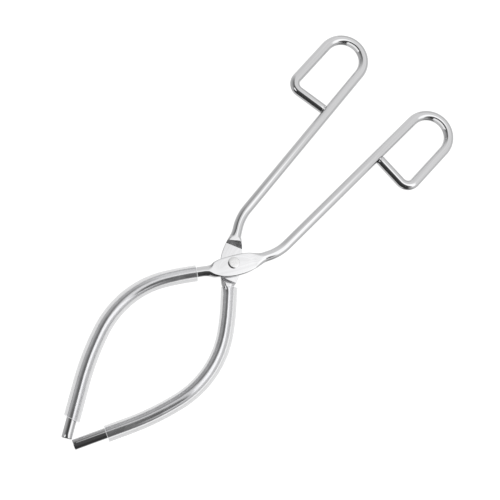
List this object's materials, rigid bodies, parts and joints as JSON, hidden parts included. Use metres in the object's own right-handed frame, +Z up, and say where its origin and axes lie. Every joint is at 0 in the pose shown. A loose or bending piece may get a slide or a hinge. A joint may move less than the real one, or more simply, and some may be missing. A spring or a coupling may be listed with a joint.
{
  "type": "laboratory tongs",
  "caption": "Scissor tongs of bent round steel bar with curved jaws in clear tube sleeves and closed finger loops, riveted at a lapped joint.",
  "frame": {"origin": "on the rivet's axis, in the plane of the joint's underside", "axes": "+X along the closed tongs from the rivet towards the finger loops, +Y towards the upper arm's jaw, +Z up along the rivet"},
  "size_m": [0.2506, 0.0868, 0.008],
  "materials": {
    "arm_steel": "stainless bar polished along its length, with fine drawing lines",
    "rivet_steel": "stainless rivet, hammered and buffed",
    "clear_tube": "clear, faintly milky flexible tube with square cut ends"
  },
  "bodies": {
    "fixed_arm": {"lower_arm": "arm_steel", "rivet": "rivet_steel", "right_jaw_sleeve": "clear_tube"},
    "turning_arm": {"upper_arm": "arm_steel", "left_jaw_sleeve": "clear_tube"}
  },
  "joints": [
    {"name": "jaw_opening", "type": "hinge", "parent": "fixed_arm", "child": "turning_arm", "pos_m": [0, 0, 0.0024], "axis": [0, 0, -1], "range_deg": [0, 62.5]}
  ]
}
